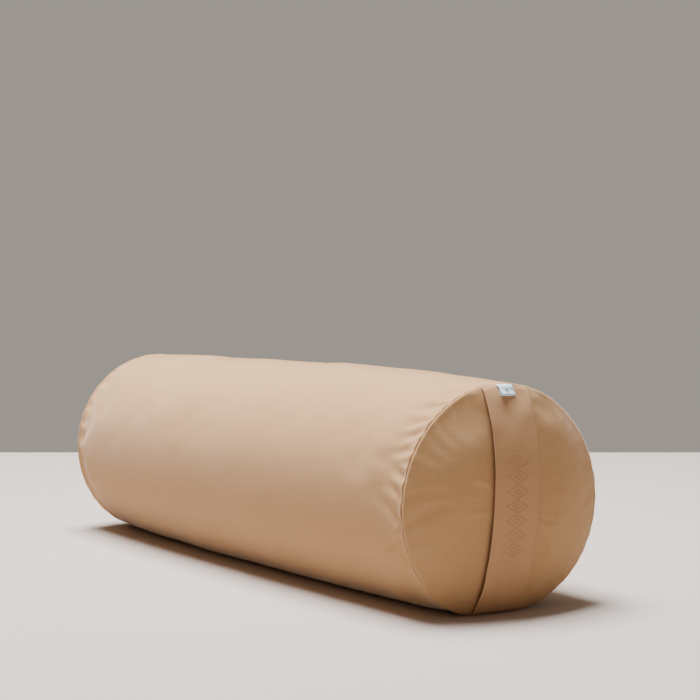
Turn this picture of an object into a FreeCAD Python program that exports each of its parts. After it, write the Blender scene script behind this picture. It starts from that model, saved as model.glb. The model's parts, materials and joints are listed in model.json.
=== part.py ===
import FreeCAD, Part
import math
import os

# A round bolster pillow with a zipped canvas cover, an inner liner, a rolled filling and one handle strap.
# All sizes are in millimetres. +X runs along the bolster towards its handle, +Y points to the zipped back,
# +Z is up, and the origin is on the floor under the middle of the bolster.

# The stuffed body
seam_to_seam = 650.0
diameter = 220.0
narrowing = 5.0              # how much less its radius is at the end seams
shoulder_length = 75.0       # the stretch over which it narrows
dome_height = 25.0           # how far each stuffed end stands out beyond its seam
floor_dent = 15.0            # how far its own weight flattens the underside

# Cloth and thread
canvas = 0.9
seam_allowance = 12.0        # turned inwards at each end seam
thread = 0.5
thread_margin = 2.0          # from the raw edges of the seam allowances to their stitches
liner_gap = 0.3              # between the cover's seam threads and the liner
liner_cloth = 0.5

# Filling
batting = 18.0               # thickness of the rolled sheet in the core
roll_gap = 0.4
roll_start_radius = 14.0
roll_half_turns = 6
end_pad_length = 27.0
filling_gap = 0.4            # between the pieces of the filling, and between it and the liner

# Handle strap over one end
strap_width = 48.0
strap_thickness = 2.0
strap_offset = -5.0          # of its centre line, from the middle of the end
strap_lean = 3.5             # degrees, its top towards the back
strap_hand_gap = 5.0         # between the strap and the end panel, at the middle
strap_end_gap = 0.15         # the same where the strap meets the seam
strap_end_inset = 2.8        # how far its ends stay inside the seam circle
strap_root_margin = 1.5      # from the seam circle to where its curve would meet the end panel at the top
strap_floor_margin = 1.0     # and from the floor, at the bottom
strap_floor_gap = 0.4        # under its lower end
grip_half_length = 72.0      # the part of the strap that lifts, each way from the middle
split_gap = 0.3

# Woven label folded into the top of the handle end's seam
label_width = 16.6
label_length = 14.0
label_layer = 0.45
label_slit = 0.3             # between its two layers
label_droop = 35.0           # degrees below level
label_offset = 1.3           # of its middle, from the middle of the end
label_gap = 0.2              # how much further out its root is than the strap is thick
label_rise = 0.5             # its root above the seam

# Zip along the back
zip_angle = 15.0             # degrees above level
zip_end_margin = 10.0        # from the ends of its slot to where the bolster starts to narrow
slot_gap = 0.7               # between the slider and the edges of the slot
tape_width = 14.0
tape_edge = 1.0              # half of the gap between the two tapes
tape_cloth = 0.5
tape_overrun = 5.0
coil_pitch = 4.0
coil_height = 2.2
coil_spine_inner = 1.2
coil_spine_outer = 2.8
coil_tip = 0.55              # from the middle line to the ends of the hooks
coil_end_inset = 4.0
tooth_gap = 0.2
stop_length = 2.0
stop_gap = 0.2
stop_half_width = 3.0
stop_wall = 0.8
topstitch_margin = 2.5       # from the edge of the slot
topstitch_end = 3.0          # beyond the ends of the slot
topstitch_height = 0.3

# Zip slider and its pull tab
slider_length = 11.0
slider_plate = 1.0
slider_gap = 0.3             # over the coil and beside the post
flange_width = 0.9
flange_coil_gap = 0.6        # beside the coil
tape_clearance = 0.5         # over and under the tapes
slider_post_length = 2.0
bridge_width = 1.8
bridge_wall = 0.8
tab_length = 24.0
tab_thickness = 0.9
tab_side = 1.0               # width of the tab beside its window
tab_gap = 0.5                # between the tab and the bridge

# Care label inside the cover, sewn to the zip's lower tape
care_label_length = 40.0
care_label_drop = 20.0       # degrees round the cover
care_label_top = 4.0         # degrees below the zip's middle line
care_label_middle = -150.0
care_label_cloth = 0.4

radius = diameter / 2
seam_radius = radius - narrowing
half_length = seam_to_seam / 2
axis_height = radius - floor_dent
reach = 2 * (seam_to_seam + diameter)          # larger than the whole bolster, for cutting tools

shoulder_start = half_length - shoulder_length
shoulder_radius = (shoulder_length ** 2 + narrowing ** 2) / (2 * narrowing)
dome_radius = (seam_radius ** 2 + dome_height ** 2) / (2 * dome_height)
dome_centre = half_length + dome_height - dome_radius
axis_point = FreeCAD.Vector(0, 0, axis_height)
along = FreeCAD.Vector(1, 0, 0)
across = FreeCAD.Vector(0, 1, 0)


def box(low, high):
    size = [b - a for a, b in zip(low, high)]
    return Part.makeBox(size[0], size[1], size[2], FreeCAD.Vector(*low))


def slab(x0, x1):
    return box((x0, -reach, -reach), (x1, reach, reach))


def rod(r, x0, x1):
    return Part.makeCylinder(r, x1 - x0, FreeCAD.Vector(x0, 0, axis_height), along)


def tube(outer, inner, x0, x1):
    return rod(outer, x0, x1).cut(rod(inner, x0, x1))


def corner(depth):
    """Where the shoulder and the dome meet, this far under the outside: x, and distance from the axis."""
    ax, ay, ar = shoulder_start, radius - shoulder_radius, shoulder_radius - depth
    bx, by, br = dome_centre, 0.0, dome_radius - depth
    gap = math.hypot(bx - ax, by - ay)
    along_gap = (gap ** 2 + ar ** 2 - br ** 2) / (2 * gap)
    beside = math.sqrt(ar ** 2 - along_gap ** 2)
    ux, uy = (bx - ax) / gap, (by - ay) / gap
    return ax + ux * along_gap + uy * beside, ay + uy * along_gap - ux * beside


def layer(depth):
    """The solid bolster as it would be if its outside were this much deeper all over."""
    corner_x, corner_r = corner(depth)
    side_r = radius - depth
    tip_x = half_length + dome_height - depth
    dome_turn = math.asin(corner_r / (dome_radius - depth)) / 2
    dome_x = dome_centre + (dome_radius - depth) * math.cos(dome_turn)
    dome_r = (dome_radius - depth) * math.sin(dome_turn)
    bend_turn = math.asin((corner_x - shoulder_start) / (shoulder_radius - depth)) / 2
    bend_x = shoulder_start + (shoulder_radius - depth) * math.sin(bend_turn)
    bend_r = radius - shoulder_radius + (shoulder_radius - depth) * math.cos(bend_turn)

    def at(x, r):
        return FreeCAD.Vector(x, 0, r)

    edges = [Part.LineSegment(at(-tip_x, 0), at(tip_x, 0))]
    edges.append(Part.Arc(at(tip_x, 0), at(dome_x, dome_r), at(corner_x, corner_r)))
    edges.append(Part.Arc(at(corner_x, corner_r), at(bend_x, bend_r), at(shoulder_start, side_r)))
    edges.append(Part.LineSegment(at(shoulder_start, side_r), at(-shoulder_start, side_r)))
    edges.append(Part.Arc(at(-shoulder_start, side_r), at(-bend_x, bend_r), at(-corner_x, corner_r)))
    edges.append(Part.Arc(at(-corner_x, corner_r), at(-dome_x, dome_r), at(-tip_x, 0)))
    wire = Part.Wire([edge.toShape() for edge in edges])
    solid = Part.Face(wire).revolve(FreeCAD.Vector(0, 0, 0), along, 360)
    solid.translate(axis_point)
    return solid.common(box((-reach, -reach, depth), (reach, reach, reach)))


def shell(outer_depth, inner_depth, x0, x1):
    band = slab(x0, x1)
    return layer(outer_depth).common(band).cut(layer(inner_depth).common(band))


def at_zip(shape):
    """Turns a shape drawn with Y outwards and Z along the cloth into its place on the back."""
    shape.rotate(FreeCAD.Vector(0, 0, 0), along, zip_angle)
    shape.translate(axis_point)
    return shape


def zip_box(x0, x1, out0, out1, t0, t1):
    return at_zip(box((x0, out0, t0), (x1, out1, t1)))


def mirrored_ends(shape):
    return shape, shape.mirror(FreeCAD.Vector(0, 0, 0), along)


# Cover: the panel round the side, and a panel over each end
seam_x = corner(canvas)[0]
skirt_x = seam_x - seam_allowance


def make_side_panel():
    panel = shell(0, canvas, -seam_x, seam_x)
    for skirt in mirrored_ends(shell(canvas, 2 * canvas, skirt_x, seam_x)):
        panel = panel.fuse(skirt)
    slot = zip_box(-zip_half_length, zip_half_length, radius / 2, reach, -slot_half_width, slot_half_width)
    return panel.cut(slot).removeSplitter()


def make_end_panel():
    panel = shell(0, canvas, seam_x, reach)
    fold = shell(0, 3 * canvas, seam_x, seam_x + canvas)
    skirt = shell(2 * canvas, 3 * canvas, skirt_x, seam_x)
    return panel.fuse(fold).fuse(skirt).removeSplitter()


def make_end_seam_thread():
    start = skirt_x + thread_margin
    return shell(3 * canvas, 3 * canvas + thread, start, start + thread)


# Liner and filling
liner_depth = 3 * canvas + thread + liner_gap
liner_inside = liner_depth + liner_cloth
filling_outside = liner_inside + filling_gap
core_half_length = half_length - end_pad_length
roll_pitch = batting + roll_gap
roll_radius = roll_start_radius + (roll_half_turns - 1) * roll_pitch / 2 + batting / 2


def make_liner_side():
    end_x = corner(liner_inside)[0]
    return shell(liner_depth, liner_inside, -end_x, end_x)


def make_liner_end():
    return shell(liner_depth, liner_inside, corner(liner_inside)[0], reach)


def make_filling_core():
    """A sheet rolled up: half turns about two centres, each half a pitch wider than the last."""
    outer_edges = []
    inner_edges = []
    for turn in range(roll_half_turns):
        side = 1 if turn % 2 == 0 else -1
        last_side = 1 if roll_half_turns % 2 else -1
        centre_y = 0.0 if side == last_side else last_side * roll_pitch / 2
        middle = roll_start_radius + turn * roll_pitch / 2
        for offset, edges in ((batting / 2, outer_edges), (-batting / 2, inner_edges)):
            r = middle + offset
            start = FreeCAD.Vector(0, centre_y + side * r, 0)
            top = FreeCAD.Vector(0, centre_y, side * r)
            end = FreeCAD.Vector(0, centre_y - side * r, 0)
            edges.append(Part.Arc(start, top, end).toShape())
    inner_tip = Part.LineSegment(inner_edges[0].Vertexes[0].Point, outer_edges[0].Vertexes[0].Point)
    outer_tip = Part.LineSegment(inner_edges[-1].Vertexes[-1].Point, outer_edges[-1].Vertexes[-1].Point)
    edges = outer_edges + inner_edges + [inner_tip.toShape(), outer_tip.toShape()]
    wire = Part.Wire(Part.__sortEdges__(edges))
    roll = Part.Face(wire).extrude(FreeCAD.Vector(2 * core_half_length, 0, 0))
    roll.translate(axis_point - along * core_half_length)
    return roll


def make_filling_wrap():
    core_hole = rod(roll_radius + filling_gap, -core_half_length, core_half_length)
    return layer(filling_outside).common(slab(-core_half_length, core_half_length)).cut(core_hole)


def make_end_pad():
    return layer(filling_outside).common(slab(core_half_length + filling_gap, reach))


# Handle strap
def end_face(v):
    return dome_centre + math.sqrt(dome_radius ** 2 - v ** 2)


def circle_through(points):
    """The centre and the radius of a circle through three points."""
    (x0, v0), (x1, v1), (x2, v2) = points
    a, b, c, d = 2 * (x1 - x0), 2 * (v1 - v0), 2 * (x2 - x0), 2 * (v2 - v0)
    e = x1 ** 2 + v1 ** 2 - x0 ** 2 - v0 ** 2
    f = x2 ** 2 + v2 ** 2 - x0 ** 2 - v0 ** 2
    x, v = (e * d - b * f) / (a * d - b * c), (a * f - e * c) / (a * d - b * c)
    return x, v, math.hypot(x0 - x, v0 - v)


strap_top_x = half_length + dome_height + strap_hand_gap
upper_root = seam_radius - strap_root_margin
lower_root = strap_floor_margin - axis_height
strap_centre_x, strap_centre_v, strap_bow = circle_through((
    (end_face(upper_root) + strap_end_gap, upper_root),
    (strap_top_x, 0.0),
    (end_face(lower_root) + strap_end_gap, lower_root)))


def make_strap_piece(v0, v1):
    """The stretch of the strap between two heights, measured along its own length from its middle."""
    start = FreeCAD.Vector(strap_centre_x, strap_offset - strap_width / 2, strap_centre_v)
    outer = Part.makeCylinder(strap_bow + strap_thickness, strap_width, start, across)
    inner = Part.makeCylinder(strap_bow, strap_width, start, across)
    piece = outer.cut(inner).common(box((half_length - dome_height, -reach, v0), (reach, reach, v1)))
    piece.rotate(FreeCAD.Vector(0, 0, 0), along, -strap_lean)
    piece.translate(axis_point)
    piece = piece.common(rod(seam_radius - strap_end_inset, 0, reach))
    return piece.common(box((0, -reach, strap_floor_gap), (reach, reach, reach)))


def make_seam_label():
    """A ribbon folded double, lying flat at first with its root on the Y axis, then set in the seam."""
    half_thickness = label_layer + label_slit / 2
    front = label_length - half_thickness
    ribbon = box((0, 0, -half_thickness), (front, label_width, half_thickness))
    for x in (0, front):
        ribbon = ribbon.fuse(Part.makeCylinder(half_thickness, label_width, FreeCAD.Vector(x, 0, 0), across))
    slit = box((half_thickness, 0, -label_slit / 2), (front, label_width, label_slit / 2))
    label = ribbon.removeSplitter().cut(slit)
    label.rotate(FreeCAD.Vector(0, 0, 0), across, label_droop)
    root_x = half_length + strap_thickness + label_gap
    root_z = axis_height + seam_radius + label_rise
    label.translate(FreeCAD.Vector(root_x, label_offset - label_width / 2, root_z))
    return label


# Zip
zip_half_length = shoulder_start - zip_end_margin
tape_outside = radius - canvas
tape_inside = tape_outside - tape_cloth
coil_top = tape_outside + coil_height
coil_half_length = zip_half_length - coil_end_inset
stop_start = coil_half_length + stop_gap
plate_bottom = coil_top + slider_gap
plate_top = plate_bottom + slider_plate
lower_plate_top = tape_inside - tape_clearance
slider_x = coil_half_length - slider_length / 2 - slider_gap
slider_half_width = coil_spine_outer + flange_coil_gap + flange_width
slot_half_width = slider_half_width + slot_gap
post_half_width = coil_tip - slider_gap
topstitch_offset = slot_half_width + topstitch_margin

# The tab's cross bar turns in the bridge, and its window swings over the bridge's far corner
pin_room = tab_thickness / math.sqrt(2) + tab_gap
bridge_reach = math.hypot(pin_room + bridge_wall, pin_room + bridge_wall)
tab_half_width = bridge_width / 2 + tab_gap + tab_side
tab_window_length = bridge_reach + tab_gap


def make_zip_tape(side):
    edges = sorted((side * tape_edge, side * (tape_edge + tape_width)))
    length = zip_half_length + tape_overrun
    ring = tube(tape_outside, tape_inside, -length, length)
    return ring.common(zip_box(-length, length, radius / 2, reach, edges[0], edges[1]))


def make_zip_coil(side):
    """One half of the closed coil, as a comb whose hooks point at the middle line."""
    count = int(2 * coil_half_length / coil_pitch)
    start = -count * coil_pitch / 2 + (coil_pitch / 2 if side > 0 else 0)
    tooth = coil_pitch / 2 - tooth_gap
    points = [(-coil_half_length, coil_spine_outer), (-coil_half_length, coil_spine_inner)]
    for number in range(count - 1):
        x = start + number * coil_pitch + tooth_gap / 2
        points += [(x, coil_spine_inner), (x, coil_tip), (x + tooth, coil_tip), (x + tooth, coil_spine_inner)]
    points += [(coil_half_length, coil_spine_inner), (coil_half_length, coil_spine_outer)]
    corners = [FreeCAD.Vector(x, tape_outside, side * t) for x, t in points]
    comb = Part.Face(Part.makePolygon(corners + corners[:1]))
    return at_zip(comb.extrude(FreeCAD.Vector(0, coil_height, 0)))


def make_zip_stop(x0, inner_half_width):
    """Two clips, or one bar where the inner half width is nothing, closed round the tapes."""
    low = tape_inside - stop_wall
    high = tape_outside + stop_wall + tape_cloth
    bar = zip_box(x0, x0 + stop_length, low, high, -stop_half_width, stop_half_width)
    if inner_half_width:
        bar = bar.cut(zip_box(x0, x0 + stop_length, low, high, -inner_half_width, inner_half_width))
    for side in (1, -1):
        bar = bar.cut(make_zip_tape(side))
    return bar


def make_zip_stitching():
    """A line of stitches all round the slot, lying on the canvas."""
    length = zip_half_length + topstitch_end
    ring = tube(radius + topstitch_height, radius, -length - thread, length + thread)
    outer = zip_box(-length - thread, length + thread, radius / 2, reach,
                    -topstitch_offset - thread, topstitch_offset + thread)
    inner = zip_box(-length, length, radius / 2, reach, -topstitch_offset, topstitch_offset)
    return ring.common(outer.cut(inner))


def make_zip_slider():
    x0 = slider_x - slider_length / 2
    x1 = slider_x + slider_length / 2
    side = slider_half_width
    body = zip_box(x0, x1, plate_bottom, plate_top, -side, side)
    body = body.fuse(zip_box(x0, x1, lower_plate_top - slider_plate, lower_plate_top, -side, side))
    flange_bottom = tape_outside + tape_clearance
    for t in (-side, side - flange_width):
        body = body.fuse(zip_box(x0, x1, flange_bottom, plate_bottom, t, t + flange_width))
    post_x = slider_x + slider_length / 4
    body = body.fuse(zip_box(post_x, post_x + slider_post_length, lower_plate_top, plate_bottom,
                             -post_half_width, post_half_width))
    outside = zip_box(slider_x - pin_room - bridge_wall, slider_x + pin_room + bridge_wall,
                      plate_top, plate_top + 2 * pin_room + bridge_wall, -bridge_width / 2, bridge_width / 2)
    opening = zip_box(slider_x - pin_room, slider_x + pin_room,
                      plate_top, plate_top + 2 * pin_room, -bridge_width, bridge_width)
    return body.fuse(outside.cut(opening)).removeSplitter()


def make_zip_pull_tab():
    """The tab lies back over the coil; its cross bar passes under the slider's bridge."""
    low = plate_top + pin_room - tab_thickness / 2
    high = low + tab_thickness
    side = tab_half_width
    tab = zip_box(slider_x - tab_length, slider_x + tab_thickness / 2, low, high, -side, side)
    window = zip_box(slider_x - tab_window_length, slider_x - tab_thickness / 2, low, high,
                     -side + tab_side, side - tab_side)
    return tab.cut(window)


def make_care_label():
    outside = tape_inside
    ring = tube(outside, outside - care_label_cloth, care_label_middle - care_label_length / 2,
                care_label_middle + care_label_length / 2)
    top = math.radians(zip_angle - care_label_top)
    bottom = math.radians(zip_angle - care_label_top - care_label_drop)
    corners = [FreeCAD.Vector(-reach, 0, 0)]
    for angle in (top, bottom):
        corners.append(FreeCAD.Vector(-reach, diameter * math.cos(angle), diameter * math.sin(angle)))
    wedge = Part.Face(Part.makePolygon(corners + corners[:1])).extrude(FreeCAD.Vector(2 * reach, 0, 0))
    wedge.translate(axis_point)
    return ring.common(wedge)


def make_everything():
    nodes = {"side_panel": make_side_panel()}
    nodes["handle_end_panel"], nodes["plain_end_panel"] = mirrored_ends(make_end_panel())
    nodes["handle_end_seam_thread"], nodes["plain_end_seam_thread"] = mirrored_ends(make_end_seam_thread())
    nodes["liner_side_panel"] = make_liner_side()
    nodes["liner_handle_end_panel"], nodes["liner_plain_end_panel"] = mirrored_ends(make_liner_end())
    nodes["filling_core_roll"] = make_filling_core()
    nodes["filling_wrap"] = make_filling_wrap()
    nodes["filling_handle_end_pad"], nodes["filling_plain_end_pad"] = mirrored_ends(make_end_pad())
    nodes["handle_strap"] = make_strap_piece(-grip_half_length, grip_half_length)
    nodes["strap_upper_end"] = make_strap_piece(grip_half_length + split_gap, reach)
    nodes["strap_lower_end"] = make_strap_piece(-reach, -grip_half_length - split_gap)
    nodes["seam_label"] = make_seam_label()
    nodes["zip_upper_tape"] = make_zip_tape(1)
    nodes["zip_lower_tape"] = make_zip_tape(-1)
    nodes["zip_upper_coil"] = make_zip_coil(1)
    nodes["zip_lower_coil"] = make_zip_coil(-1)
    nodes["zip_top_stops"] = make_zip_stop(stop_start, tape_edge / 2)
    nodes["zip_bottom_stop"] = make_zip_stop(-stop_start - stop_length, 0)
    nodes["zip_stitching"] = make_zip_stitching()
    nodes["zip_slider"] = make_zip_slider()
    nodes["zip_pull_tab"] = make_zip_pull_tab()
    nodes["care_label"] = make_care_label()
    return nodes


os.makedirs("parts", exist_ok=True)
for name, shape in make_everything().items():
    shape.exportStep(os.path.join("parts", name + ".step"))
    print(name, "solids", len(shape.Solids), "valid", shape.isValid(), "volume", round(shape.Volume, 1))
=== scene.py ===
import bpy
import json
import math
import numpy as np
from mathutils import Matrix, Vector


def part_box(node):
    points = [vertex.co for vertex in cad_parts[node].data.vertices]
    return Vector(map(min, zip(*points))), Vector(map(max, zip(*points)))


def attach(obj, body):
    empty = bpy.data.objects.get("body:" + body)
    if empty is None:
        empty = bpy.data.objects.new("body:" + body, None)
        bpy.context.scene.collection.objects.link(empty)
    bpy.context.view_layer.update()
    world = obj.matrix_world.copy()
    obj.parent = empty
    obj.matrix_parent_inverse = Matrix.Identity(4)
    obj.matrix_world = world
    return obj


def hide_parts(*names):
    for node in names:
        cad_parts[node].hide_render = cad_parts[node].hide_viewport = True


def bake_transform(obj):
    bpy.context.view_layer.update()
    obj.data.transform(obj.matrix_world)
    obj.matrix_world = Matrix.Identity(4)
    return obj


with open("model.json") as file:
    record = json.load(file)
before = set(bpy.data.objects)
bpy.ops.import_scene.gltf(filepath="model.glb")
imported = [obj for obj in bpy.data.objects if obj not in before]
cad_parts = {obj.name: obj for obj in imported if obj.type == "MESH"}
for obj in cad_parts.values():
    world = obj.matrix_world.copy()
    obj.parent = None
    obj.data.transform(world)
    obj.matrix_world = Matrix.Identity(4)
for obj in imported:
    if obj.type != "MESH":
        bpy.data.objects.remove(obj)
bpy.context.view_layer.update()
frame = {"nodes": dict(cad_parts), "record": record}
mm = 0.001

# Sizes read from the frame
sideLow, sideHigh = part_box("side_panel")
endLow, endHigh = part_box("handle_end_panel")
joints = {joint["name"]: joint for joint in frame["record"]["behaviour"]["joints"]}
radius = -sideLow.y
axisHeight = sideHigh.z - radius
seamRadius = -endLow.y
seamX = sideHigh.x + 0.55 * mm
domeHeight = endHigh.x - seamX
zipAxis = joints["zip_pull_swing"]["axis"]
zipAngle = math.atan2(zipAxis[1], -zipAxis[2])
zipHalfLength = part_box("zip_upper_tape")[1].x - 5 * mm
strapLow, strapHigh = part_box("handle_strap")
upperLow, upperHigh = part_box("strap_upper_end")
strapOffset = (strapLow.y + strapHigh.y) / 2
lean = math.atan2((upperLow.y + upperHigh.y) / 2 - strapOffset, (upperLow.z + upperHigh.z) / 2 - axisHeight)


# Small helpers

def linear(hexColour):
    channels = [int(hexColour[i:i + 2], 16) / 255 for i in (1, 3, 5)]
    return [c / 12.92 if c <= 0.04045 else ((c + 0.055) / 1.055) ** 2.4 for c in channels] + [1.0]


def addNode(tree, kind, settings=None, inputs=None, links=None):
    node = tree.nodes.new(kind)
    for name, value in (settings or {}).items():
        setattr(node, name, value)
    for name, value in (inputs or {}).items():
        node.inputs[name].default_value = value
    for name, socket in (links or {}).items():
        tree.links.new(socket, node.inputs[name])
    return node


def link(name, data):
    piece = bpy.data.objects.new(name, data)
    bpy.context.scene.collection.objects.link(piece)
    return piece


def stacked(*parts):
    return np.stack(parts, axis=-1)


def unit(value):
    return np.clip(value, 0, 1)


def bell(value):
    return np.exp(-value ** 2)


def meshObject(name, points, faces, uvs=None, material=None, smooth=True):
    mesh = bpy.data.meshes.new(name)
    mesh.from_pydata([tuple(p) for p in points], [], faces)
    if uvs is not None:
        layer = mesh.uv_layers.new(name="cloth")
        corners = np.empty(len(mesh.loops), dtype=np.int32)
        mesh.loops.foreach_get("vertex_index", corners)
        layer.data.foreach_set("uv", np.asarray(uvs, dtype=np.float32)[corners].ravel())
    mesh.polygons.foreach_set("use_smooth", [smooth] * len(mesh.polygons))
    if material:
        mesh.materials.append(material)
    mesh.update()
    return link(name, mesh)


def gridFaces(rows, columns, closed=False, flip=False):
    faces = []
    for i in range(rows - 1):
        for j in range(columns if closed else columns - 1):
            k = (j + 1) % columns
            quad = (i * columns + j, i * columns + k, (i + 1) * columns + k, (i + 1) * columns + j)
            faces.append(quad[::-1] if flip else quad)
    return faces


def readPoints(piece):
    points = np.empty(len(piece.data.vertices) * 3)
    piece.data.vertices.foreach_get("co", points)
    return points.reshape(-1, 3)


def writePoints(piece, points):
    piece.data.vertices.foreach_set("co", np.ascontiguousarray(points, dtype=np.float32).ravel())
    piece.data.update()


def readUvs(piece):
    corners = np.empty(len(piece.data.loops), dtype=np.int32)
    piece.data.loops.foreach_get("vertex_index", corners)
    flat = np.empty(len(corners) * 2)
    piece.data.uv_layers["cloth"].data.foreach_get("uv", flat)
    uvs = np.zeros((len(piece.data.vertices), 2))
    uvs[corners] = flat.reshape(-1, 2)
    return uvs


def bakeModifiers(piece):
    graph = bpy.context.evaluated_depsgraph_get()
    baked = bpy.data.meshes.new_from_object(piece.evaluated_get(graph), preserve_all_data_layers=True,
                                            depsgraph=graph)
    old = piece.data
    piece.modifiers.clear()
    piece.data = baked
    bpy.data.meshes.remove(old)
    baked.name = piece.name


def softLumps(a, b, wavelength, count, seed):
    # a smooth random field, about -1 to 1, from waves that run every way
    draw = np.random.default_rng(seed)
    total = np.zeros_like(a)
    for _ in range(count):
        turn = draw.uniform(0, math.pi)
        wave = 2 * math.pi / (wavelength * draw.uniform(0.7, 1.5))
        total += np.cos(wave * (a * math.cos(turn) + b * math.sin(turn)) + draw.uniform(0, 2 * math.pi))
    return total * math.sqrt(2 / count) / 1.6


def spacedFrom(start, steps, stop, step):
    # fine steps next to both ends, and even ones between
    fine = [s * mm for s in steps]
    count = max(2, round((stop - start - 2 * fine[-1]) / step))
    middle = np.linspace(start + fine[-1], stop - fine[-1], count)
    return np.array([start + s for s in fine[:-1]] + list(middle) + [stop - s for s in fine[:-1]][::-1])


# Materials

weave = {
    "threadPitch": 1.1 * mm,   # canvas of about 9 double threads to the centimetre
    "bump": 0.16,
    "slubLength": 26 * mm,     # thick places in a thread
    "mottle": 45 * mm,         # slow change of shade from bolt of cloth to bolt
}


def newMaterial(name):
    material = bpy.data.materials.new(name)
    material.use_nodes = True
    return material, material.node_tree, material.node_tree.nodes["Principled BSDF"]


def blendColours(tree, share, dark, colour):
    return addNode(tree, "ShaderNodeMix", {"data_type": "RGBA"}, {6: linear(dark), 7: linear(colour)},
                   {0: share}).outputs[2]


def addRelief(tree, shader, height, strength, distance):
    bump = addNode(tree, "ShaderNodeBump", inputs={"Strength": strength, "Distance": distance},
                   links={"Height": height})
    tree.links.new(bump.outputs["Normal"], shader.inputs["Normal"])


def clothMaterial(name, colour, dark, pitch=None, bump=None, rough=0.92, sheen=0.65, uv=True, mottle=0.5):
    # plain weave: two crossing sets of rounded threads, with slubs that lighten and darken single threads,
    # and painted shade that darkens the colour in the gaps between threads
    pitch = pitch or weave["threadPitch"]
    bump = weave["bump"] if bump is None else bump
    material, tree, shader = newMaterial(name)
    shader.inputs["Roughness"].default_value = rough
    shader.inputs["Sheen Weight"].default_value = sheen
    shader.inputs["Sheen Roughness"].default_value = 0.3
    shader.inputs["Sheen Tint"].default_value = linear("#FFF8F2")
    shader.inputs["Specular IOR Level"].default_value = 0.2
    if uv:
        spot = addNode(tree, "ShaderNodeUVMap", {"uv_map": "cloth"}).outputs["UV"]
    else:
        spot = addNode(tree, "ShaderNodeTexCoord").outputs["Object"]
    heights = []
    for axis in ("X", "Y"):
        wave = addNode(tree, "ShaderNodeTexWave", {"bands_direction": axis, "wave_profile": "SIN"},
                       {"Scale": 0.314 / pitch, "Distortion": 0.4, "Detail": 1.0, "Detail Scale": 0.6},
                       {"Vector": spot})
        heights.append(wave.outputs["Fac"])
    crossing = addNode(tree, "ShaderNodeMath", {"operation": "MULTIPLY"},
                       links={0: heights[0], 1: heights[1]})
    slubs = []
    across, along = 1 / (2.2 * pitch), 1 / weave["slubLength"]
    for stretch in ((across, along, 60), (along, across, 60)):
        mapped = addNode(tree, "ShaderNodeMapping", inputs={"Scale": stretch}, links={"Vector": spot})
        noise = addNode(tree, "ShaderNodeTexNoise", inputs={"Scale": 1.0, "Detail": 2.0, "Roughness": 0.55},
                        links={"Vector": mapped.outputs["Vector"]})
        slubs.append(noise.outputs["Fac"])
    slub = addNode(tree, "ShaderNodeMath", {"operation": "ADD"}, links={0: slubs[0], 1: slubs[1]})
    patches = addNode(tree, "ShaderNodeTexNoise", inputs={"Scale": 1 / weave["mottle"], "Detail": 3.0},
                      links={"Vector": spot})
    shade = addNode(tree, "ShaderNodeMapRange", inputs={"From Min": 0.7, "From Max": 1.3},
                    links={"Value": slub.outputs[0]})
    patchShade = addNode(tree, "ShaderNodeMapRange",
                         inputs={"From Min": 0.3, "From Max": 0.7, "To Min": 0.5 - mottle / 2,
                                 "To Max": 0.5 + mottle / 2},
                         links={"Value": patches.outputs["Fac"]})
    half = addNode(tree, "ShaderNodeMath", {"operation": "MULTIPLY"}, {1: 0.5}, {0: patchShade.outputs[0]})
    both = addNode(tree, "ShaderNodeMath", {"operation": "MULTIPLY_ADD"}, {1: 0.5},
                   {0: shade.outputs[0], 2: half.outputs[0]})
    # painted shade: the colour is darkened by up to 7 % in the gaps between the crossing threads
    threadShade = addNode(tree, "ShaderNodeMapRange", inputs={"To Min": 0.72, "To Max": 1.0},
                          links={"Value": crossing.outputs[0]})
    paintedGapShade = addNode(tree, "ShaderNodeMix", {"data_type": "RGBA", "blend_type": "MULTIPLY"}, {0: 0.25},
                   {6: blendColours(tree, both.outputs[0], dark, colour), 7: threadShade.outputs[0]})
    tree.links.new(paintedGapShade.outputs[2], shader.inputs["Base Color"])
    relief = addNode(tree, "ShaderNodeMath", {"operation": "MULTIPLY_ADD"}, {1: 0.6},
                     {0: slub.outputs[0], 2: crossing.outputs[0]})
    addRelief(tree, shader, relief.outputs[0], bump, 0.35 * mm)
    return material


def solidMaterial(name, colour, dark, grain, rough, metallic=0.0, bump=0.08, ior=None):
    # even finish with a fine grain that breaks up its gloss
    material, tree, shader = newMaterial(name)
    shader.inputs["Metallic"].default_value = metallic
    if ior:
        shader.inputs["IOR"].default_value = ior
    spot = addNode(tree, "ShaderNodeTexCoord").outputs["Object"]
    noise = addNode(tree, "ShaderNodeTexNoise", inputs={"Scale": 1 / grain, "Detail": 4.0},
                    links={"Vector": spot})
    tree.links.new(blendColours(tree, noise.outputs["Fac"], dark, colour), shader.inputs["Base Color"])
    gloss = addNode(tree, "ShaderNodeMapRange", inputs={"To Min": rough - 0.08, "To Max": rough + 0.1},
                    links={"Value": noise.outputs["Fac"]})
    tree.links.new(gloss.outputs[0], shader.inputs["Roughness"])
    addRelief(tree, shader, noise.outputs["Fac"], bump, 0.1 * mm)
    return material


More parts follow.
